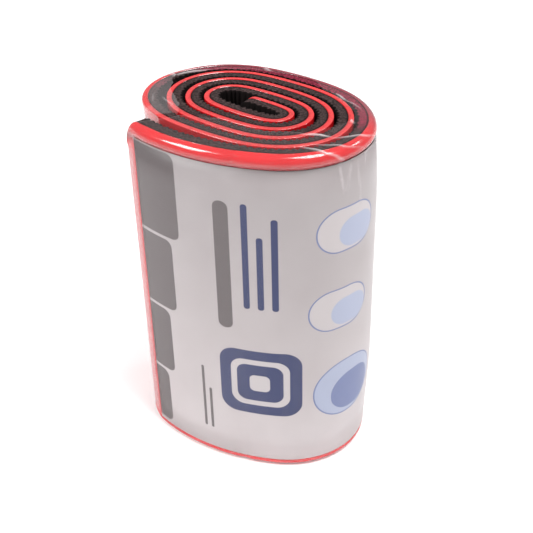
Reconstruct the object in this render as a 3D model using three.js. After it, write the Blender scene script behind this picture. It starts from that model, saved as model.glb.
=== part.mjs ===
import * as THREE from 'three';

// Foam splint strip, rolled up for storage, with a paper label round its front and a clear
// shrink film round the whole roll. Millimetres, +Z up, the roll stands on one end and its
// origin is at the bottom centre. The strip is a red and a charcoal foam layer, charcoal inside.

// Strip
const stripWidth = 108;
const charcoalThickness = 3.05;
const redThickness = 1.5;
const layerGap = 0.1;
const edgeRound = 1.1;
const cornerRound = 4;

// Winding, from the core out, clockwise seen from above
const coreHalfLength = 8.8;
const coreHalfWidth = 1;
const coreLean = -38.3;
const foldClearance = 0.3;
const wrapGap = 0.3;
const foldGap = 1;
const firstTurn = -0.27;
const turnCount = 4.442;
const looseShare = 0.828;
const looseSpanShare = 0.046;
const looseGap = 1.55;
const freeEndLength = 45.2;
const freeEndRadius = 60;

// Paper label
const paperThickness = 0.15;
const paperGap = 0.15;
const labelHeight = 101.6;
const labelTopMargin = 4.2;
const labelLength = 130;
const labelSetback = 2.5;

// Shrink film
const filmThickness = 0.2;
const filmGap = 0.25;
const openingShare = 0.74;

// Fineness of the curved walls
const stationsPerTurn = 40;
const freeEndStations = 12;
const cornerStations = 4;
const roundSteps = 3;
const filmSides = 72;
const stationClearance = 0.2;

// Fits worked out from the sizes above
const stripThickness = charcoalThickness + layerGap + redThickness;
const foldRadius = charcoalThickness + foldClearance;
const shortPitch = stripThickness + wrapGap;
const longPitch = stripThickness + foldGap;
const lastTurn = firstTurn + turnCount;
const looseTurn = firstTurn + turnCount * looseShare;
const looseSpan = turnCount * looseSpanShare;
const redOutside = layerGap + redThickness;
const labelInside = redOutside + paperGap;
const labelOutside = labelInside + paperThickness;
const stripBottom = filmThickness + filmGap;
const filmHeight = stripWidth + 2 * stripBottom;
const stripTop = stripBottom + stripWidth;
const labelTop = stripTop - labelTopMargin;

// How far the outer wrap stands off the one inside it, most at the roll's loose left side
function slack(turn) {
  const away = Math.min(Math.abs(turn - looseTurn) / looseSpan, 1);
  return looseGap * Math.cos(Math.PI / 2 * away) ** 2;
}

// How far the charcoal layer's outer face reaches from the roll's centre, in a direction that
// turns clockwise from the core's long axis by the given number of turns
function reach(turn) {
  const along = Math.cos(2 * Math.PI * turn);
  const across = Math.sin(2 * Math.PI * turn);
  const core = foldRadius + Math.hypot(coreHalfLength * along, coreHalfWidth * across);
  return core + (longPitch * along ** 2 + shortPitch * across ** 2) * turn + slack(turn);
}

// One station of the winding: a point of that face and its outward normal
function woundStation(turn) {
  const facing = THREE.MathUtils.degToRad(coreLean) - 2 * Math.PI * turn;
  const normal = new THREE.Vector2(Math.cos(facing), Math.sin(facing));
  const ahead = new THREE.Vector2(Math.sin(facing), -Math.cos(facing));
  const step = 1e-4;
  const slope = (reach(turn + step) - reach(turn - step)) / (4 * Math.PI * step);
  const point = normal.clone().multiplyScalar(reach(turn)).addScaledVector(ahead, slope);
  return { point, normal };
}

// One station of the free outer end, which springs out on a wide arc from the last wound one
function freeStation(start, distance) {
  const normal = start.normal.clone().rotateAround(new THREE.Vector2(), -distance / freeEndRadius);
  const arcCentre = start.point.clone().addScaledVector(start.normal, -freeEndRadius);
  return { point: arcCentre.addScaledVector(normal, freeEndRadius), normal };
}

// The station at a length along the strip, on the straight facet between its two neighbours
function stationAt(stations, length) {
  let next = stations.findIndex((station) => station.length >= length);
  next = Math.max(next, 1);
  const a = stations[next - 1];
  const b = stations[next];
  const share = (length - a.length) / (b.length - a.length);
  return { point: a.point.clone().lerp(b.point, share), normal: a.normal.clone().lerp(b.normal, share), length };
}

// The whole strip's stations from its inner to its outer end, with the length at each
function stripStations() {
  const wound = Math.round((lastTurn - firstTurn) * stationsPerTurn);
  const turns = Array.from({ length: wound + 1 }, (_, i) => firstTurn + (lastTurn - firstTurn) * i / wound);
  const stations = turns.map(woundStation);
  const start = stations[wound];
  for (let i = 1; i <= freeEndStations; i += 1) {
    stations.push(freeStation(start, freeEndLength * i / freeEndStations));
  }
  stations[0].length = 0;
  for (let i = 1; i < stations.length; i += 1) {
    stations[i].length = stations[i - 1].length + stations[i].point.distanceTo(stations[i - 1].point);
  }
  return stations;
}

// The stations between two lengths along the strip, cut off exactly there
function stretch(stations, from, to) {
  const start = from + stationClearance;
  const end = to - stationClearance;
  const inside = stations.filter((station) => station.length > start && station.length < end);
  return [stationAt(stations, from), ...inside, stationAt(stations, to)];
}

// The strip's stations with extra ones at both ends, each with what its round corner takes off
function corneredStations(stations) {
  const end = stations[stations.length - 1].length;
  const tips = Array.from({ length: cornerStations + 1 }, (_, i) => {
    return cornerRound * (1 - Math.cos(Math.PI / 2 * i / cornerStations));
  });
  const middle = stretch(stations, cornerRound, end - cornerRound).slice(1, -1);
  const first = tips.map((distance) => stationAt(stations, distance));
  const last = tips.map((distance) => stationAt(stations, end - distance)).reverse();
  return [...first, ...middle, ...last].map((station) => {
    const tip = Math.min(station.length, end - station.length, cornerRound);
    return { ...station, cut: cornerRound - Math.sqrt(cornerRound ** 2 - (cornerRound - tip) ** 2) };
  });
}

// A closed body skinned over rows of points, each row a loop round the section there.
// An open run of rows is capped at both ends.
function skin(rows, closed) {
  const sides = rows[0].length;
  const index = [];
  for (let row = 0; row < (closed ? rows.length : rows.length - 1); row += 1) {
    const here = row * sides;
    const next = ((row + 1) % rows.length) * sides;
    for (let i = 0; i < sides; i += 1) {
      const j = (i + 1) % sides;
      index.push(here + i, here + j, next + j, here + i, next + j, next + i);
    }
  }
  if (!closed) {
    const last = (rows.length - 1) * sides;
    for (let i = 1; i < sides - 1; i += 1) {
      index.push(0, i + 1, i, last, last + i, last + i + 1);
    }
  }
  const geometry = new THREE.BufferGeometry().setFromPoints(rows.flat());
  geometry.setIndex(index);
  geometry.computeVertexNormals();
  return geometry;
}

// A band that follows the stations between two distances from the charcoal layer's outer face
function band(stations, inside, outside, low, high, round) {
  const rows = stations.map((station) => {
    const place = (offset, height) => new THREE.Vector3(
      station.point.x + station.normal.x * offset,
      station.point.y + station.normal.y * offset,
      height,
    );
    const cut = station.cut ?? 0;
    const row = [place(inside, low + cut)];
    for (let step = 0; round > 0 && step <= roundSteps; step += 1) {
      const angle = Math.PI / 2 * step / roundSteps;
      row.push(place(outside - round + round * Math.sin(angle), low + cut + round - round * Math.cos(angle)));
    }
    for (let step = 0; round > 0 && step <= roundSteps; step += 1) {
      const angle = Math.PI / 2 * step / roundSteps;
      row.push(place(outside - round + round * Math.cos(angle), high - cut - round + round * Math.sin(angle)));
    }
    if (round === 0) {
      row.push(place(outside, low + cut), place(outside, high - cut));
    }
    row.push(place(inside, high - cut));
    return row;
  });
  return skin(rows, false);
}

// The stretched film's outline: flat sides that touch the roll all round, like a taut band
function filmOutline(stations) {
  const faces = stations.map((station) => station.point.clone().addScaledVector(station.normal, labelOutside));
  const facings = Array.from({ length: filmSides }, (_, i) => -2 * Math.PI * i / filmSides);
  const reaches = facings.map((facing) => {
    const normal = new THREE.Vector2(Math.cos(facing), Math.sin(facing));
    return Math.max(...faces.map((face) => face.dot(normal))) + filmGap + filmThickness;
  });
  return facings.map((facing, i) => {
    const j = (i + 1) % filmSides;
    const turn = Math.sin(facings[j] - facing);
    return new THREE.Vector2(
      (reaches[i] * Math.sin(facings[j]) - reaches[j] * Math.sin(facing)) / turn,
      (reaches[j] * Math.cos(facing) - reaches[i] * Math.cos(facings[j])) / turn,
    );
  });
}

// The film: a thin wall round the roll whose rims turn in over both ends as lips
function film(outline) {
  const centre = outline.reduce((sum, point) => sum.add(point), new THREE.Vector2()).divideScalar(filmSides);
  const rows = outline.map((side) => {
    const opening = centre.clone().lerp(side, openingShare);
    const inward = opening.clone().sub(side).normalize();
    const lip = side.distanceTo(opening);
    const wall = (inset) => {
      const low = inset;
      const high = filmHeight - inset;
      const round = edgeRound + filmGap + filmThickness - inset;
      const place = (depth, height) => new THREE.Vector3(
        side.x + inward.x * depth,
        side.y + inward.y * depth,
        height,
      );
      const angles = Array.from({ length: roundSteps + 1 }, (_, i) => Math.PI / 2 * i / roundSteps);
      const foot = angles.map((a) => place(inset + round * (1 - Math.sin(a)), low + round * (1 - Math.cos(a))));
      const brow = angles.map((a) => place(inset + round * (1 - Math.cos(a)), high - round * (1 - Math.sin(a))));
      return [place(lip, low), ...foot, ...brow, place(lip, high)];
    };
    return [...wall(0), ...wall(filmThickness).reverse()];
  });
  return skin(rows, true);
}

const foam = { roughness: 0.85, metalness: 0 };
const finishes = {
  charcoal_foam: new THREE.MeshStandardMaterial({ color: 0x5a4e4e, ...foam }),
  red_foam: new THREE.MeshStandardMaterial({ color: 0xdf3237, ...foam }),
  paper_label: new THREE.MeshStandardMaterial({ color: 0xd5cbcb, roughness: 0.6, metalness: 0 }),
  shrink_film: new THREE.MeshStandardMaterial({
    color: 0xffffff, roughness: 0.15, metalness: 0, transparent: true, opacity: 0.25,
  }),
};

const stations = stripStations();
const stripLength = stations[stations.length - 1].length;
const strip = corneredStations(stations);
const labelEnd = stripLength - labelSetback;
const labelStations = stretch(stations, labelEnd - labelLength, labelEnd);

const shapes = {
  charcoal_foam: band(strip, -charcoalThickness, 0, stripBottom, stripTop, 0),
  red_foam: band(strip, layerGap, redOutside, stripBottom, stripTop, edgeRound),
  paper_label: band(labelStations, labelInside, labelOutside, labelTop - labelHeight, labelTop, 0),
  shrink_film: film(filmOutline(stations)),
};

const splint = new THREE.Group();
for (const [name, shape] of Object.entries(shapes)) {
  const mesh = new THREE.Mesh(shape, finishes[name]);
  mesh.name = name;
  splint.add(mesh);
}

// The origin goes to the middle of the roll's footprint
const bounds = new THREE.Box3().setFromObject(splint);
const middle = bounds.getCenter(new THREE.Vector3());
splint.position.set(-middle.x, -middle.y, -bounds.min.z);

export default splint;
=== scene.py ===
import bisect
import math

import bmesh
import bpy
from mathutils import Matrix, Vector, noise


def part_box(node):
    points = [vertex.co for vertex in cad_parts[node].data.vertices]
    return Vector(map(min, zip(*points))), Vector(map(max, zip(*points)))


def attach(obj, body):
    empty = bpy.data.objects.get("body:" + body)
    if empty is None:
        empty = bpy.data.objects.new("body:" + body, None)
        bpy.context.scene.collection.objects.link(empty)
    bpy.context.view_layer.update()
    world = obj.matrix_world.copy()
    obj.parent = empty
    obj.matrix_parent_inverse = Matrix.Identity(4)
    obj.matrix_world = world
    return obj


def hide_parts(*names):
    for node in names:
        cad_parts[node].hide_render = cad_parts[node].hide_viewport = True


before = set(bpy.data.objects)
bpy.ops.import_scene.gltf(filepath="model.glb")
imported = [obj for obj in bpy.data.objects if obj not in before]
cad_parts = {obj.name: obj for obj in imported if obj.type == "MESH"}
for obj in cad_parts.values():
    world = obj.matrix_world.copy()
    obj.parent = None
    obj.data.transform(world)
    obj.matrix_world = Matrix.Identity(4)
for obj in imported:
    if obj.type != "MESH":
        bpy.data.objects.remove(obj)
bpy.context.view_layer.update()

# The charcoal foam, the strip's inner layer. It is a soft closed-cell sheet whose inner face is
# ribbed, cut square along both long edges and wound round itself from a small flat core.
mm = 0.001
charcoal_thickness = 3.05 * mm
layer_gap = 0.1 * mm
red_thickness = 1.5 * mm
fold_radius = charcoal_thickness + 0.3 * mm
short_pitch = charcoal_thickness + layer_gap + red_thickness + 0.3 * mm
long_pitch = charcoal_thickness + layer_gap + red_thickness + 1 * mm
core_half_length = 8.8 * mm
core_half_width = 1 * mm
core_lean = math.radians(-38.3)
first_turn = -0.27
last_turn = 4.172
loose_turn = 3.408
loose_span = 0.204
loose_gap = 1.55 * mm
free_end_length = 45.2 * mm
free_end_radius = 60 * mm
corner_round = 4 * mm
rib_pitch = 2.0 * mm
rib_depth = 0.75 * mm
free_end_swell = 0.9 * mm
foam_pace = 0.34 * mm
wound_steps = 4000
free_steps = 200
strip_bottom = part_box("charcoal_foam")[0].z
strip_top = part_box("charcoal_foam")[1].z


def reach(turn):
    """How far the layers' meeting face lies from the core's centre, turns clockwise from its axis."""
    along = math.cos(math.tau * turn)
    across = math.sin(math.tau * turn)
    core = fold_radius + math.hypot(core_half_length * along, core_half_width * across)
    slack = loose_gap * math.cos(math.pi / 2 * min(abs(turn - loose_turn) / loose_span, 1)) ** 2
    return core + (long_pitch * along ** 2 + short_pitch * across ** 2) * turn + slack


def wound_point(turn):
    """A point of the meeting face of the two layers, and the way out from there."""
    facing = core_lean - math.tau * turn
    normal = Vector((math.cos(facing), math.sin(facing)))
    ahead = Vector((math.sin(facing), -math.cos(facing)))
    step = 1e-4
    slope = (reach(turn + step) - reach(turn - step)) / (2 * math.tau * step)
    return normal * reach(turn) + ahead * slope, normal


def free_point(distance):
    """The same on the free outer end, which springs out on a wide arc."""
    start, start_normal = wound_point(last_turn)
    normal = start_normal.copy()
    normal.rotate(Matrix.Rotation(-distance / free_end_radius, 2))
    return start - start_normal * free_end_radius + normal * free_end_radius, normal


def strip_line():
    """The whole strip's line as lengths, points and outward normals, from the core out."""
    pace = (last_turn - first_turn) / wound_steps
    steps = [wound_point(first_turn + pace * i) for i in range(wound_steps + 1)]
    steps += [free_point(free_end_length * i / free_steps) for i in range(1, free_steps + 1)]
    lengths = [0.0]
    for (a, _), (b, _) in zip(steps, steps[1:]):
        lengths.append(lengths[-1] + (b - a).length)
    return lengths, [point for point, _ in steps], [normal for _, normal in steps]


lengths, points, normals = strip_line()
strip_length = lengths[-1]
outer_faces = [p + n * (layer_gap + red_thickness) for p, n in zip(points, normals)]
wound_middle = Vector([
    (max(face[axis] for face in outer_faces) + min(face[axis] for face in outer_faces)) / 2 for axis in (0, 1)
])
core_centre = ((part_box("red_foam")[0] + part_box("red_foam")[1]) / 2).to_2d() - wound_middle


def station(length):
    """The point and outward normal at a length along the strip, in the frame."""
    i = min(max(bisect.bisect_left(lengths, length), 1), len(lengths) - 1)
    share = (length - lengths[i - 1]) / (lengths[i] - lengths[i - 1])
    return points[i - 1].lerp(points[i], share) + core_centre, normals[i - 1].lerp(normals[i], share)


def placed(length, profile):
    """Profile points, each an outward offset and a height, at a length along the strip."""
    point, normal = station(length)
    return [Vector((point.x + normal.x * out, point.y + normal.y * out, height)) for out, height in profile]


def corner_cut(length):
    """What the strip's round corners take off its height there."""
    tip = min(length, strip_length - length, corner_round)
    return corner_round - math.sqrt(max(corner_round ** 2 - (corner_round - tip) ** 2, 0))


def sway(length):
    """The edge of a hand-wound roll isn't quite flat: how far it lies under its full height."""
    return 0.35 * mm * (0.5 + 0.5 * noise.noise((length / (35 * mm), 0, 0)))


def smooth_step(low, high, value):
    """0 under low, 1 over high and a soft step between."""
    share = min(max((value - low) / (high - low), 0), 1)
    return share * share * (3 - 2 * share)


def swept(along, section, tint):
    """A closed skin over the sections at places along the strip, with a tint for each place."""
    rows = [section(place) for place in along]
    bm = bmesh.new()
    across = len(rows[0])
    spans = len(rows) - 1
    bmesh.ops.create_grid(bm, x_segments=spans, y_segments=across, size=0.5)
    low = min(point.z for row in rows for point in row)
    high = max(point.z for row in rows for point in row)
    flat = bm.loops.layers.uv.new("UVMap")
    shown = bm.verts.layers.float.new("tint")
    for loop in [loop for face in bm.faces for loop in face.loops]:
        i = round((loop.vert.co.x + 0.5) * spans)
        j = round((loop.vert.co.y + 0.5) * across) % across
        loop[flat].uv = (i / spans, (rows[i][j].z - low) / (high - low))
    for vert in bm.verts:
        i = round((vert.co.x + 0.5) * spans)
        j = round((vert.co.y + 0.5) * across) % across
        vert.co = rows[i][j]
        vert[shown] = tint(along[i])
    bmesh.ops.remove_doubles(bm, verts=bm.verts, dist=0.001 * mm)
    rims = [edge for edge in bm.edges if edge.is_boundary]
    caps = bmesh.ops.holes_fill(bm, edges=rims, sides=0)["faces"]
    bmesh.ops.triangulate(bm, faces=caps)
    bmesh.ops.recalc_face_normals(bm, faces=bm.faces)
    return bm


def foam_places():
    """Places along the strip a pace apart, closer together round its corners."""
    count = round(strip_length / foam_pace)
    ends = [corner_round * (1 - math.cos(math.pi / 2 * i / 8)) for i in range(9)]
    middle = [strip_length * i / count for i in range(count + 1)]
    margin = corner_round + foam_pace / 3
    middle = [place for place in middle if margin < place < strip_length - margin]
    return ends + middle + [strip_length - p for p in reversed(ends)]


def charcoal_section(length):
    """The charcoal layer's section: square edges, and ribs down its inner face."""
    cut = corner_cut(length)
    top = strip_top - cut - sway(length)
    bottom = strip_bottom + cut
    wander = 0.45 * noise.noise((length / (3 * mm), 5, 0))
    rib = 0.5 - 0.5 * math.cos(math.tau * (length / rib_pitch + wander))
    roughness = 0.08 * mm * noise.noise((length / (0.7 * mm), 9, 0))
    swell = free_end_swell * smooth_step(strip_length - 44 * mm, strip_length - 32 * mm, length)
    inner = -charcoal_thickness - swell + rib_depth * (1 - rib) ** 1.1 + roughness
    soft = 0.22 * mm
    inner_face = [(inner, bottom + (top - bottom) * i / 6) for i in range(1, 6)]
    bottom_edge = [(inner + soft, bottom), (-charcoal_thickness / 2, bottom), (0, bottom)]
    third = charcoal_thickness / 3
    top_edge = [(0, top), (-third, top), (-2 * third, top), (inner + soft, top)]
    inner_edge = [(inner, top - soft)] + inner_face[::-1] + [(inner, bottom + soft)]
    return placed(length, bottom_edge + top_edge + inner_edge)


def length_at(turn):
    """The length along the strip at a turn of the winding."""
    return lengths[round((turn - first_turn) / (last_turn - first_turn) * wound_steps)]


def rear_red_reflection(length):
    """How much painted reflection of the red foam tints the outermost wrap's charcoal edge, at the rear and
    on the left.
    """
    begins = smooth_step(length_at(3.55), length_at(3.62), length)
    ends = smooth_step(length_at(3.92), length_at(3.98), length)
    left = math.exp(-(((length - length_at(3.47)) / (3 * mm)) ** 2))
    return max(begins * (1 - ends), 0.6 * left)


def shade(material, kind, **values):
    """A new node of that kind with its sockets or settings set, or joined to other sockets."""
    node = material.node_tree.nodes.new(kind)
    for key, value in values.items():
        if hasattr(node, key):
            setattr(node, key, value)
            continue
        socket = node.inputs[int(key[1:]) if key[1:].isdigit() else key.replace("_", " ")]
        if isinstance(value, bpy.types.NodeSocket):
            material.node_tree.links.new(value, socket)
        else:
            socket.default_value = value
    return node


def blend(material, share, first, second):
    """The first colour at 0 and the second at 1. A colour is a socket or red, green and blue."""
    first, second = (c if isinstance(c, bpy.types.NodeSocket) else (*c, 1) for c in (first, second))
    return shade(material, "ShaderNodeMix", data_type="RGBA", _0=share, _6=first, _7=second).outputs[2]


def new_material(name):
    """A material with only a Principled shader, and that shader."""
    material = bpy.data.materials.new(name)
    material.use_nodes = True
    return material, material.node_tree.nodes["Principled BSDF"]


def foam_look(material, shader, skin, cut, cut_shown, cell, contrast):
    """Closed-cell foam: smooth moulded skins, and rough open cells of that size where it is cut."""
    place = shade(material, "ShaderNodeTexCoord").outputs["Object"]
    cells = shade(material, "ShaderNodeTexVoronoi", Vector=place, Scale=1 / cell).outputs["Distance"]
    grain = shade(material, "ShaderNodeTexNoise", Vector=place, Scale=0.5 / cell, Detail=3.0).outputs[0]
    blotch = shade(material, "ShaderNodeTexNoise", Vector=place, Scale=120.0, Detail=2.0).outputs[0]
    tone = shade(
        material, "ShaderNodeMapRange", Value=grain, _1=0.36, _2=0.64, _3=1 - contrast, _4=1 + contrast
    ).outputs[0]
    mottle = shade(material, "ShaderNodeMapRange", Value=blotch, _1=0.3, _2=0.7, _3=0.92, _4=1.06).outputs[0]
    speckled = shade(material, "ShaderNodeMath", operation="MULTIPLY", _0=tone, _1=mottle).outputs[0]
    open_cut = shade(material, "ShaderNodeVectorMath", operation="SCALE", _0=cut, Scale=speckled).outputs[0]
    closed_skin = shade(material, "ShaderNodeVectorMath", operation="SCALE", _0=skin, Scale=mottle).outputs[0]
    colour = blend(material, cut_shown, closed_skin, open_cut)
    material.node_tree.links.new(colour, shader.inputs["Base Color"])
    height = shade(material, "ShaderNodeMath", operation="ADD", _0=cells, _1=grain).outputs[0]
    bump = shade(material, "ShaderNodeBump", Height=height, Strength=cut_shown, Distance=0.25 * mm)
    material.node_tree.links.new(bump.outputs[0], shader.inputs["Normal"])


def facing_up(material):
    """1 where a face looks straight up or down, as the strip's cut edges do, and 0 on its skins."""
    facing = shade(material, "ShaderNodeNewGeometry").outputs["Normal"]
    up = shade(material, "ShaderNodeSeparateXYZ", Vector=facing).outputs["Z"]
    level = shade(material, "ShaderNodeMath", operation="ABSOLUTE", _0=up).outputs[0]
    return shade(material, "ShaderNodeMapRange", Value=level, _1=0.75, _2=0.97).outputs[0]


def finish_piece(mesh_name, bm, material, node_name):
    """Makes the finished bmesh an object that stands for its solid and rides with it."""
    mesh = bpy.data.meshes.new(mesh_name)
    bm.to_mesh(mesh)
    bm.free()
    for face in mesh.polygons:
        face.use_smooth = True
    piece = bpy.data.objects.new(mesh_name, mesh)
    bpy.context.scene.collection.objects.link(piece)
    mesh.materials.append(material)
    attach(piece, "root")
    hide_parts(node_name)
    return piece


charcoal_foam, charcoal_shader = new_material("charcoal foam")
charcoal_shader.inputs["Roughness"].default_value = 0.9
charcoal_shader.inputs["Specular IOR Level"].default_value = 0.1
# Painted reflection: the outermost wrap's cut edge is tinted maroon at the rear and on the left.
red_reflection_shown = shade(charcoal_foam, "ShaderNodeAttribute", attribute_name="tint").outputs["Fac"]
# Painted shade: the skin is near black, standing for the inner faces deep in the gaps between the turns.
charcoal_skin_painted_shade = (0.006, 0.004, 0.004)
charcoal_cut = blend(charcoal_foam, red_reflection_shown, (0.045, 0.029, 0.0285), (0.19, 0.02, 0.04))
charcoal_cut_shown = facing_up(charcoal_foam)
foam_look(charcoal_foam, charcoal_shader, charcoal_skin_painted_shade, charcoal_cut, charcoal_cut_shown, 0.32 * mm, 0.6)
charcoal_mesh = swept(foam_places(), charcoal_section, rear_red_reflection)
charcoal = finish_piece("charcoal_layer", charcoal_mesh, charcoal_foam, "charcoal_foam")

# The red foam, the strip's outer layer. It has a smooth skin, and on the outermost turn the tight
# film rolls its edges over above and below the label, so that they bulge as glossy round beads.
bead_bulge = 0.9 * mm
bead_drop = 2.6 * mm
bead_length = 4.4 * mm
foot_bulge = 0.3 * mm
foot_drop = 1.3 * mm
foot_length = 2.3 * mm
inner_round = 0.25 * mm
strip_height = strip_top - strip_bottom
red_outside = layer_gap + red_thickness
outer_turn_starts = strip_length - 192 * mm
rear_beading = 0.4
nick_depth = 0.3 * mm
nick_place = strip_length - 36 * mm
nick_half_length = 1.2 * mm


def beaded(length):
    """How far the edges are rolled over: not inside the roll, partly at the rear, fully in front."""
    rear = smooth_step(outer_turn_starts, outer_turn_starts + 20 * mm, length)
    front = smooth_step(length_at(3.76), length_at(3.9), length)
    return rear_beading * rear + (1 - rear_beading) * front


def rounded_edge(face, wide, deep, length, bulge):
    """Offsets and depths over a rounded edge, from its flat top out and down to the flat face."""
    turn = [math.pi / 2 * i / 8 for i in range(9)]
    brow = [(face + bulge - wide * (1 - math.sin(a)), deep * (1 - math.cos(a))) for a in turn]
    shares = (0.25, 0.5, 0.75, 1)
    fall = [(face + bulge * math.cos(math.pi / 2 * s) ** 2, deep + (length - deep) * s) for s in shares]
    return brow + fall


def red_section(length):
    """The red layer's section: a thin flat edge inside the roll, a round bead on the outer turn."""
    cut = corner_cut(length)
    share = beaded(length)
    fullness = 0.35 + 0.65 * smooth_step(0, 9 * mm, strip_length - length)
    top = strip_top - cut - sway(length) * (1 - 0.6 * share)
    bottom = strip_bottom + cut
    ripple = 0.05 * mm * noise.noise((length / (5 * mm), 3, 0))
    nick = nick_depth * math.exp(-(((length - nick_place) / nick_half_length) ** 2))
    edges = []
    for most, drop, long in ((bead_bulge, bead_drop, bead_length), (foot_bulge, foot_drop, foot_length)):
        bulge = most * fullness
        wide = inner_round + (red_thickness + bulge - inner_round) * share
        deep = inner_round + (drop - inner_round) * share
        pairs = rounded_edge(red_outside + ripple, wide, deep, long, bulge * share)
        edges.append([(out - nick * math.sin(math.pi * depth / long), depth) for out, depth in pairs])
    head = [(out, top - depth) for out, depth in edges[0]]
    foot = [(out, bottom + depth) for out, depth in edges[1]]
    return placed(length, [(layer_gap, bottom)] + foot + head[::-1] + [(layer_gap, top)])


red_foam, red_shader = new_material("red foam")
rolled_over = shade(red_foam, "ShaderNodeAttribute", attribute_name="tint").outputs["Fac"]
not_rolled = shade(
    red_foam, "ShaderNodeMapRange", Value=rolled_over, _1=0.0, _2=rear_beading, _3=1.0, _4=0.0
).outputs[0]
red_cut = shade(
    red_foam, "ShaderNodeMath", operation="MULTIPLY", _0=facing_up(red_foam), _1=not_rolled
).outputs[0]
red_unrolled = shade(red_foam, "ShaderNodeTexCoord").outputs["UV"]
along_and_up = shade(red_foam, "ShaderNodeSeparateXYZ", Vector=red_unrolled)
length_share = along_and_up.outputs["X"]
height_share = along_and_up.outputs["Y"]
# Painted shade: the skin is darker in a band just under the bead.
off_shadow = shade(
    red_foam, "ShaderNodeMath", operation="SUBTRACT", _0=height_share, _1=1 - bead_length / strip_height
).outputs[0]
off_shadow = shade(red_foam, "ShaderNodeMath", operation="ABSOLUTE", _0=off_shadow).outputs[0]
bright = shade(
    red_foam, "ShaderNodeMapRange", Value=off_shadow, _1=0.0, _2=2.8 * mm / strip_height
).outputs[0]
red_skin = blend(red_foam, bright, (0.2, 0.003, 0.006), (0.58, 0.008, 0.012))
# Painted shade and painted film reflection: the rear rim under the folded film is darkened to maroon.
rear_starts = shade(
    red_foam, "ShaderNodeMapRange", Value=length_share, _1=length_at(3.5) / strip_length,
    _2=length_at(3.6) / strip_length
).outputs[0]
rear_lasts = shade(
    red_foam, "ShaderNodeMapRange", Value=length_share, _1=length_at(3.88) / strip_length,
    _2=length_at(3.96) / strip_length, _3=0.85, _4=0.0
).outputs[0]
near_top = shade(
    red_foam, "ShaderNodeMapRange", Value=height_share, _1=1 - 6 * mm / strip_height,
    _2=1 - 2 * mm / strip_height
).outputs[0]
painted_rear_shade = shade(red_foam, "ShaderNodeMath", operation="MULTIPLY", _0=rear_starts, _1=rear_lasts).outputs[0]
painted_rear_shade = shade(red_foam, "ShaderNodeMath", operation="MULTIPLY", _0=painted_rear_shade, _1=near_top).outputs[0]
red_skin = blend(red_foam, painted_rear_shade, red_skin, (0.17, 0.01, 0.03))
foam_look(red_foam, red_shader, red_skin, (0.64, 0.022, 0.024), red_cut, 0.5 * mm, 0.25)
red_shader.inputs["Specular IOR Level"].default_value = 0.9
gloss = shade(red_foam, "ShaderNodeMapRange", Value=red_cut, _3=0.13, _4=0.9).outputs[0]
red_foam.node_tree.links.new(gloss, red_shader.inputs["Roughness"])
red_mesh = swept(foam_places(), red_section, beaded)
red = finish_piece("red_layer", red_mesh, red_foam, "red_foam")

# The paper label, a printed satin sheet laid round the front of the roll between the foam and the
# film. It is a flat rectangle bent round the outermost turn, printed with plain shapes in warm
# grey, navy and blue ink.
paper_thickness = 0.12 * mm
paper_inside = red_outside + 0.1 * mm
paper_outside = paper_inside + paper_thickness
label_length = 130 * mm
label_height = 101.6 * mm
label_top = strip_top - 4.2 * mm
label_ends = strip_length - 3.5 * mm
stand_off_most = 1.4 * mm
stand_off_place = length_at(3.84)
stand_off_half_length = 22 * mm


def paper_slack(length):
    """How far the paper and the film stand off the foam, round the right end of the roll."""
    return stand_off_most * math.exp(-(((length - stand_off_place) / stand_off_half_length) ** 2))


def belly(height):
    """The share of that slack at a height: little at the foot and the top, most half way up."""
    share = (height - strip_bottom) / strip_height
    return smooth_step(-0.05, 0.3, share) * (1.3 - 0.85 * smooth_step(0.8, 0.97, share))


def label_section(length):
    """The paper's section, thin and square."""
    bottom = label_top - label_height
    heights = [bottom + label_height * i / 10 for i in range(11)]
    stand_off = paper_slack(length)
    outside = [(paper_outside + stand_off * belly(h), h) for h in heights]
    inside = [(paper_inside + stand_off * belly(h), h) for h in reversed(heights)]
    return placed(length, outside + inside)


def printed_shape(material, paper, centre, half, rounding, ink):
    """Prints a rounded rectangle over what is on the paper so far. Sizes are in mm of paper."""
    at = shade(material, "ShaderNodeTexCoord").outputs["UV"]
    sheet = (label_length / mm, label_height / mm, 0)
    at = shade(material, "ShaderNodeVectorMath", operation="MULTIPLY", _0=at, _1=sheet).outputs[0]
    middle = (*centre, 0)
    away = shade(material, "ShaderNodeVectorMath", operation="SUBTRACT", _0=at, _1=middle).outputs[0]
    away = shade(material, "ShaderNodeVectorMath", operation="ABSOLUTE", _0=away).outputs[0]
    core = (half[0] - rounding, half[1] - rounding, 0)
    past = shade(material, "ShaderNodeVectorMath", operation="SUBTRACT", _0=away, _1=core).outputs[0]
    past = shade(material, "ShaderNodeVectorMath", operation="MAXIMUM", _0=past, _1=(0, 0, 0)).outputs[0]
    reach_out = shade(material, "ShaderNodeVectorMath", operation="LENGTH", _0=past).outputs["Value"]
    inked = shade(
        material, "ShaderNodeMapRange", Value=reach_out, _1=rounding - ink_edge, _2=rounding + ink_edge,
        _3=1.0, _4=0.0
    ).outputs[0]
    return blend(material, inked, paper, ink)


ink_edge = 0.08
warm_grey = (0.104, 0.086, 0.088)
pale_paper = (0.47, 0.43, 0.435)
navy = (0.02, 0.028, 0.1)
blue = (0.13, 0.16, 0.31)
pale_blue = (0.34, 0.37, 0.49)
paper, paper_shader = new_material("label paper")
paper_places = shade(paper, "ShaderNodeTexCoord")
fibres = shade(
    paper, "ShaderNodeTexNoise", Scale=55.0, Detail=3.0, Vector=paper_places.outputs["Object"]
).outputs[0]
printed = blend(paper, fibres, (0.44, 0.39, 0.395), (0.57, 0.52, 0.525))
up_paper = shade(paper, "ShaderNodeSeparateXYZ", Vector=paper_places.outputs["UV"]).outputs["Y"]
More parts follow.
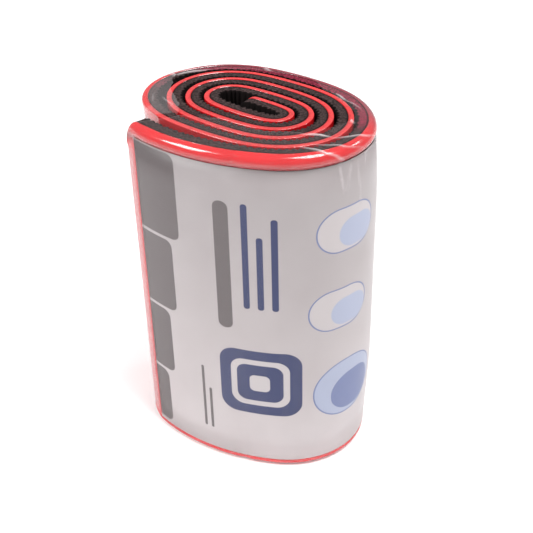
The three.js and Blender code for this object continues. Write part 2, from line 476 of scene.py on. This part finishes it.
# Painted shade: the paper darkens towards its top, under the bead.
painted_top_shade = shade(paper, "ShaderNodeMapRange", Value=up_paper, _1=0.0, _2=1.0, _3=1.0, _4=0.65).outputs[0]
printed = shade(paper, "ShaderNodeVectorMath", operation="SCALE", _0=printed, Scale=painted_top_shade).outputs[0]
# centre along and up the paper, half width, half height, rounding, ink
print_plan = [
    (0.0, 87.6, 15.0, 13.6, 2.5, warm_grey),
    (0.0, 60.6, 12.0, 12.4, 2.5, warm_grey),
    (0.0, 35.4, 9.0, 11.8, 2.5, warm_grey),
    (0.0, 12.0, 6.0, 10.6, 2.5, warm_grey),
    (38.0, 30.0, 12.0, 12.0, 5.0, navy),
    (38.0, 30.0, 8.6, 8.6, 3.8, pale_paper),
    (38.0, 30.0, 6.8, 6.8, 3.0, navy),
    (38.0, 30.0, 3.0, 3.0, 1.6, pale_paper),
    (28.5, 70.0, 2.2, 21.0, 2.1, warm_grey),
    (35.0, 74.0, 0.9, 17.0, 0.8, navy),
    (39.0, 69.0, 0.9, 12.0, 0.8, navy),
    (43.0, 72.0, 0.9, 15.0, 0.8, navy),
    (20.0, 20.0, 0.45, 12.0, 0.4, warm_grey),
    (22.3, 16.0, 0.45, 8.0, 0.4, warm_grey),
    (63.0, 81.0, 9.5, 7.0, 6.9, blue),
    (63.0, 81.0, 9.1, 6.6, 6.5, pale_paper),
    (66.0, 79.6, 6.0, 4.6, 4.5, pale_blue),
    (61.0, 55.0, 9.5, 7.0, 6.9, blue),
    (61.0, 55.0, 9.1, 6.6, 6.5, pale_paper),
    (64.0, 53.6, 6.0, 4.6, 4.5, pale_blue),
    (64.0, 25.0, 11.0, 10.5, 10.4, blue),
    (64.0, 25.0, 10.6, 10.1, 10.0, pale_blue),
    (66.0, 23.0, 7.6, 7.0, 6.9, blue),
]
for along, up, half_wide, half_high, rounding, ink in print_plan:
    printed = printed_shape(paper, printed, (along, up), (half_wide, half_high), rounding, ink)
paper.node_tree.links.new(printed, paper_shader.inputs["Base Color"])
paper_shader.inputs["Roughness"].default_value = 0.42
label_places = [label_ends - label_length * i / 130 for i in range(131)]
label_mesh = swept(label_places, label_section, lambda length: 0.0)
finish_piece("label_paper", label_mesh, paper, "paper_label")

# The shrink film, a clear sleeve shrunk tight round the whole roll. Its rims turn in over both
# ends as loose lips with an uneven oval opening, and small creases run across the upper rim.
film_thickness = 0.05 * mm
film_gap = 0.12 * mm
film_pace = 0.5 * mm
film_ways = 360
film_slope = 0.6
edge_cover = red_thickness + 0.3 * mm
rim_sag = 2.2 * mm
outer_turn_steps = 1700
lip_rows = 24
wall_rows = 36
foot_rows = 8
foot_lip = 8 * mm


def film_outline():
    """The shrunk outline round the outer turn, a pace apart, from the strip's end past the front."""
    faces = [
        p + core_centre + n * (paper_outside + paper_slack(length))
        for p, n, length in zip(points, normals, lengths)
    ][-outer_turn_steps:]
    middle = (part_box("red_foam")[0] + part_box("red_foam")[1]).to_2d() / 2
    reaches = [0.0] * film_ways
    for face in faces:
        spoke = face - middle
        way = int(math.atan2(spoke.y, spoke.x) / math.tau * film_ways) % film_ways
        reaches[way] = max(reaches[way], spoke.length)
    step = film_slope * math.tau / film_ways
    for _ in range(film_ways // 6):
        for i in range(film_ways):
            beside = max(reaches[i - 1], reaches[(i + 1) % film_ways])
            reaches[i] = max(reaches[i], beside * (1 - step))
    turns = [math.tau * (i + 0.5) / film_ways for i in range(film_ways)]
    corners = []
    for angle, length in zip(turns, reaches):
        corners.append(middle + Vector((math.cos(angle), math.sin(angle))) * (length + film_gap))
    start = min(range(film_ways), key=lambda i: (corners[i] - faces[-1]).length)
    corners = corners[start:] + corners[:start + 1]
    travelled = [0.0]
    for a, b in zip(corners, corners[1:]):
        travelled.append(travelled[-1] + (b - a).length)
    paces = round(travelled[-1] / film_pace)
    outline = []
    for i in range(paces):
        wanted = travelled[-1] * i / paces
        j = min(max(bisect.bisect_left(travelled, wanted), 1), film_ways)
        gone = (wanted - travelled[j - 1]) / max(travelled[j] - travelled[j - 1], 1e-9)
        outline.append(corners[j - 1].lerp(corners[j], gone))
    return outline, travelled[-1], middle


film_sides, film_round, film_middle = film_outline()

# share of the way round from the strip's end, width of the lip in mm
lip_plan = [
    (0.0, 14.0), (0.12, 17.0), (0.19, 15.7), (0.27, 15.0), (0.34, 12.0), (0.38, 9.0),
    (0.42, 7.0), (0.485, 8.8), (0.53, 7.5), (0.6, 2.8), (0.66, 4.0), (0.73, 6.0),
    (0.79, 5.8), (0.845, 4.5), (0.865, 7.5), (0.92, 10.5), (0.95, 10.2), (1.0, 14.0),
]

# both ends of a crease: mm round from the strip's end, mm down from the rim (inwards is less than 0);
# then its half width, how far it stands up and how bright its painted glint is, in mm and shares
crease_plan = [
    (66.5, -11.8, 70.0, -7.2, 0.35, 0.4, 0.8),
    (64.0, -12.5, 68.5, -9.0, 0.25, 0.3, 0.5),
    (107.3, -6.8, 100.7, -7.2, 0.3, 0.35, 0.6),
    (104.0, -8.2, 94.0, -5.0, 0.2, 0.2, 0.4),
    (85.7, -8.5, 82.6, -6.5, 0.35, 0.4, 0.6),
    (58.0, -5.0, 67.0, 3.2, 0.35, 0.35, 0.5),
    (62.0, -5.5, 74.0, 2.0, 0.25, 0.3, 0.35),
    (70.0, -6.0, 80.0, 0.5, 0.3, 0.35, 0.4),
    (66.2, 3.2, 68.1, 14.0, 0.4, 0.3, 0.35),
    (71.0, 3.5, 69.0, 13.0, 0.4, 0.25, 0.3),
    (73.0, 4.0, 74.5, 20.0, 0.4, 0.22, 0.25),
    (76.0, 2.5, 77.0, 9.0, 0.35, 0.3, 0.45),
    (80.0, 1.0, 80.5, 4.0, 0.35, 0.3, 0.5),
    (174.1, -3.5, 161.3, -5.5, 0.45, 0.35, 0.5),
    (176.0, -1.5, 166.0, -2.5, 0.3, 0.25, 0.35),
    (142.1, -2.5, 139.4, -4.0, 0.6, 0.4, 0.4),
    (174.1, 0.5, 174.1, -5.5, 0.6, 0.9, 0.5),
    (191.0, -6.5, 200.0, -8.5, 0.3, 0.3, 0.35),
    (188.0, -4.0, 197.0, -3.0, 0.3, 0.15, 0.2),
]


def lip_width(share):
    """The lip's width at a share of the way round, eased between the plan's places."""
    for (a, wide_a), (b, wide_b) in zip(lip_plan, lip_plan[1:]):
        if share <= b:
            eased = 0.5 - 0.5 * math.cos(math.pi * (share - a) / (b - a))
            ragged = 0.4 * noise.noise((share * 40, 1, 0)) + 0.2 * noise.noise((share * 120, 4, 0))
            return (wide_a + (wide_b - wide_a) * eased + ragged) * mm
    return lip_plan[-1][1] * mm


def crease(around, drop):
    """How far creases lift the film there, and how strong a painted glint they get."""
    lift = 0.0
    white = 0.0
    for a_round, a_drop, b_round, b_drop, half, high, glint_strength in crease_plan:
        a = Vector((a_round, a_drop)) * mm
        way = Vector((b_round, b_drop)) * mm - a
        here = Vector((around, drop)) - a
        share = min(max(here.dot(way) / way.length_squared, 0), 1)
        near = math.exp(-((here - way * share).length / (half * mm)) ** 2)
        near *= math.sin(math.pi * (0.1 + 0.8 * share))
        lift += high * mm * near
        white = max(white, near * glint_strength)
    return lift, white


def painted_reflection(share, around, drop):
    """How much painted reflection whitens the film there: on the lip at the left and rear, and down the
    strip's end.
    """
    left = smooth_step(0.78, 0.88, share) * (1 - 0.5 * smooth_step(0.96, 1.0, share))
    right = 0.25 * smooth_step(0.38, 0.44, share) * (1 - smooth_step(0.55, 0.6, share))
    lip = 0.07 * max(left, right) if drop < 0 else 0.0
    end = 0.36 * (1 - smooth_step(2.5 * mm, 5 * mm, around)) * smooth_step(4 * mm, 10 * mm, drop)
    return max(lip, end)


def film_section(i):
    """The film's section at one place round it, with its painted glints and painted reflection."""
    side = film_sides[i]
    share = i / len(film_sides)
    around = film_round * share
    outward = (side - film_middle).normalized()
    lip = lip_width(share)
    sag = rim_sag * (math.exp(-around / (1.6 * mm)) + math.exp(-(film_round - around) / (1.0 * mm)))
    stand_off = paper_slack(strip_length - around)
    crown = strip_top + 0.14 * mm - sag
    foot = strip_bottom - 0.14 * mm + sag
    rows = []
    for k in range(lip_rows):
        depth = edge_cover + (lip - edge_cover) * (1 - k / lip_rows)
        slack = noise.noise((side.x / (6 * mm), side.y / (6 * mm), depth / (5 * mm)))
        ragged = 0.4 + noise.noise((around / (9 * mm), 7, 0))
        curl = 0.5 * mm * math.exp(-(lip - depth) / (0.8 * mm)) * ragged
        lift, white = crease(around, -depth)
        white = max(white, painted_reflection(share, around, -depth))
        rows.append((side - outward * depth, crown + abs(slack) * 0.15 * mm + max(curl, 0) + lift, white))
    top_edge = rounded_edge(0, edge_cover + bead_bulge, bead_drop, bead_length, bead_bulge)
    for out, depth in top_edge:
        lift, white = crease(around, depth - edge_cover * max(1 - 2 * depth / bead_drop, 0))
        raised = lift * max(1 - depth / bead_drop, 0)
        rows.append((side + outward * (out + lift), crown - depth + raised, white))
    wall = strip_top - strip_bottom - bead_length - foot_length
    for k in range(1, wall_rows):
        depth = bead_length + wall * (k / wall_rows) ** 1.8
        lift, white = crease(around, depth)
        white = max(white, painted_reflection(share, around, depth))
        pulled_in = stand_off * (1 - belly(crown - depth))
        rows.append((side + outward * (lift - pulled_in), crown - depth, white))
    foot_edge = rounded_edge(0, edge_cover + foot_bulge, foot_drop, foot_length, foot_bulge)
    for out, depth in reversed(foot_edge):
        pulled_in = stand_off * (1 - belly(foot + depth))
        rows.append((side + outward * (out - pulled_in), foot + depth, 0.0))
    for k in range(1, foot_rows + 1):
        depth = stand_off + edge_cover + (foot_lip - edge_cover) * k / foot_rows
        rows.append((side - outward * depth, foot, 0.0))
    return [(Vector((plan.x, plan.y, height)), white) for plan, height, white in rows]


film_rows = [film_section(i) for i in range(len(film_sides))]
film_mesh = bmesh.new()
painted_light_layer = film_mesh.verts.layers.float.new("crease")
spans, across = len(film_rows), len(film_rows[0]) - 1
bmesh.ops.create_grid(film_mesh, x_segments=spans, y_segments=across, size=0.5)
for vert in film_mesh.verts:
    i = round((vert.co.x + 0.5) * spans) % spans
    j = round((vert.co.y + 0.5) * across)
    vert.co, vert[painted_light_layer] = film_rows[i][j]
bmesh.ops.remove_doubles(film_mesh, verts=film_mesh.verts, dist=0.001 * mm)
bmesh.ops.recalc_face_normals(film_mesh, faces=film_mesh.faces)
bmesh.ops.solidify(film_mesh, geom=film_mesh.faces[:], thickness=film_thickness)

clear_film, film_shader = new_material("clear film")
film_shader.inputs["Base Color"].default_value = (0.85, 0.78, 0.79, 1)
film_shader.inputs["Roughness"].default_value = 0.12
rim = shade(clear_film, "ShaderNodeLayerWeight", Blend=0.3).outputs["Facing"]
veil = shade(clear_film, "ShaderNodeMapRange", Value=rim, _1=0.45, _2=1.0, _3=0.012, _4=0.12).outputs[0]
# Painted light: the film's cover goes up along the creases as painted glints, and on the lip and down the
# strip's end as painted reflection.
painted_light_share = shade(clear_film, "ShaderNodeAttribute", attribute_name="crease").outputs["Fac"]
glint = shade(clear_film, "ShaderNodeMath", operation="MULTIPLY", _0=painted_light_share, _1=0.6).outputs[0]
cover = shade(clear_film, "ShaderNodeMath", operation="ADD", use_clamp=True, _0=veil, _1=glint).outputs[0]
clear_film.node_tree.links.new(cover, film_shader.inputs["Alpha"])
finish_piece("film_sleeve", film_mesh, clear_film, "shrink_film")

# The studio: a pale light table, white surroundings, and soft boxes on the left, above and behind
# on the right. The camera looks down on the roll from in front, turned very slightly in the hand.
bpy.ops.mesh.primitive_plane_add(size=6)
floor = bpy.context.object
floor.name = "floor"
floor_material, floor_shader = new_material("pale floor")
floor_shader.inputs["Base Color"].default_value = (0.93, 0.93, 0.93, 1)
floor_shader.inputs["Roughness"].default_value = 0.9
floor_shader.inputs["Specular IOR Level"].default_value = 0.1
floor_shader.inputs["Emission Color"].default_value = (1, 1, 1, 1)
floor_shader.inputs["Emission Strength"].default_value = 0.16
floor.data.materials.append(floor_material)

world = bpy.data.worlds.new("white studio")
bpy.context.scene.world = world
world.use_nodes = True
world.node_tree.nodes["Background"].inputs["Color"].default_value = (1, 1, 1, 1)
world.node_tree.nodes["Background"].inputs["Strength"].default_value = 0.46


def soft_box(name, place, size, watts):
    """A square soft light at a place, turned to the roll's middle."""
    light = bpy.data.lights.new(name, "AREA")
    light.size = size
    light.energy = watts
    box = bpy.data.objects.new(name, light)
    box.location = place
    box.rotation_euler = (Vector((0, 0, 0.06)) - Vector(place)).to_track_quat("-Z", "Y").to_euler()
    bpy.context.scene.collection.objects.link(box)


soft_box("left box", (-0.77, -0.21, 0.78), 0.38, 7.0)
soft_box("top box", (0.34, -0.24, 1.05), 0.5, 10.5)
soft_box("rear box", (0.8, 0.28, 0.75), 0.2, 1.5)

core_from_lens = Vector((-2.61, 259.5)) * mm
lens_height = strip_top + 119.2 * mm
look_down = math.radians(33.86)
hand_tilt = math.radians(-1.39)
lens_plan = core_centre - core_from_lens
camera_data = bpy.data.cameras.new("camera")
camera_data.lens = 68.15
camera_data.sensor_width = 36
camera = bpy.data.objects.new("camera", camera_data)
bpy.context.scene.collection.objects.link(camera)
turned = Matrix.Rotation(math.pi / 2 - look_down, 4, "X") @ Matrix.Rotation(hand_tilt, 4, "Z")
camera.matrix_world = Matrix.Translation((lens_plan.x, lens_plan.y, lens_height)) @ turned
bpy.context.scene.camera = camera
bpy.context.scene.view_settings.view_transform = "Standard"
